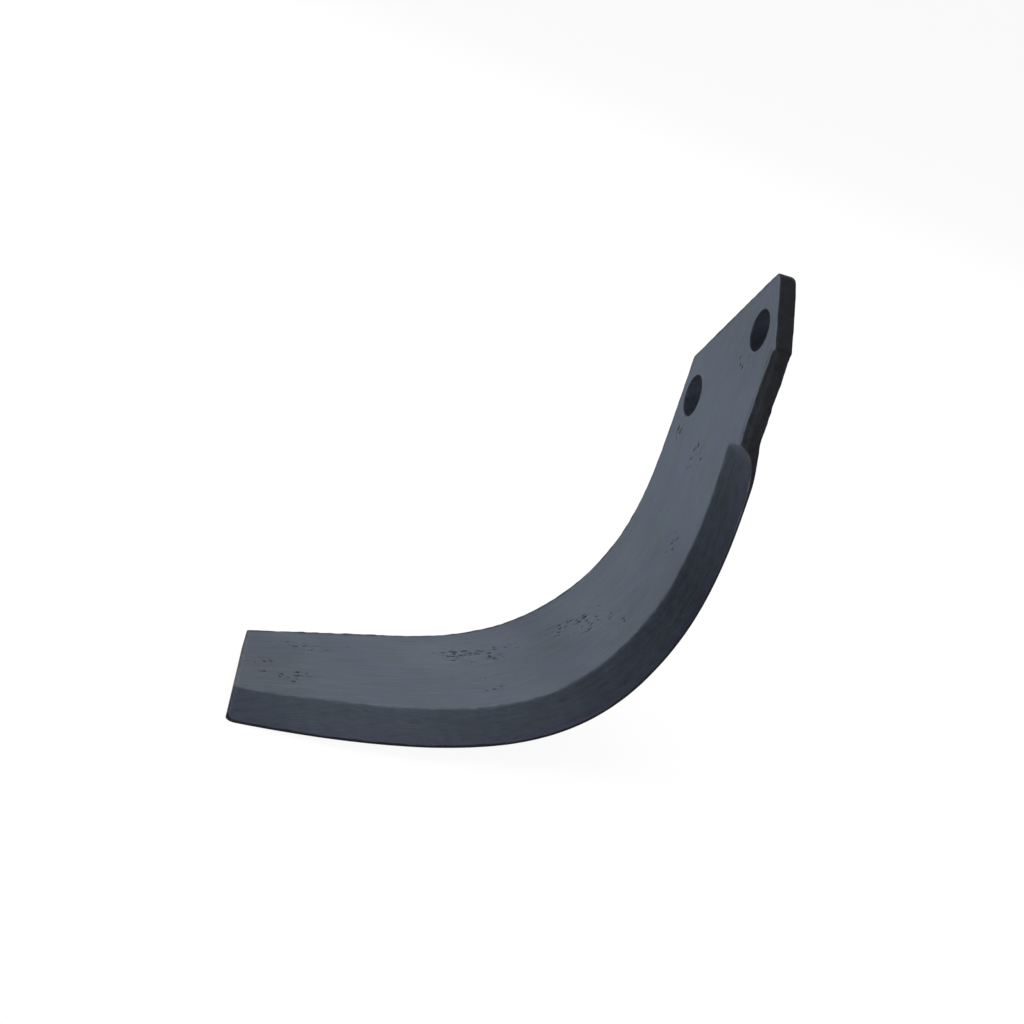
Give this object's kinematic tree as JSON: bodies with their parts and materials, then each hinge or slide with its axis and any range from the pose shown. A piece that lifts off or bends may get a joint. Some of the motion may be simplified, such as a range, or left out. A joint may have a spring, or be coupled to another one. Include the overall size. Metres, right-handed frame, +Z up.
{
  "type": "rotary tiller blade",
  "caption": "Sideways-bent tiller blade of flat bar with a bevelled cutting edge and a two-hole bolting shank.",
  "frame": {"origin": "midway between the two bolt holes, on the seating face (the convex side)", "axes": "+Y along the bolts, out of the seating face; +Z up with the blade at the bottom of its stroke, where the tip half of the wing is level; +X along the bend lines, towards the cutting edge"},
  "size_m": [0.1557, 0.1749, 0.1842],
  "materials": {
    "blade_steel": "matte"
  },
  "bodies": {
    "root": {"tiller_blade": "blade_steel"}
  },
  "joints": []
}
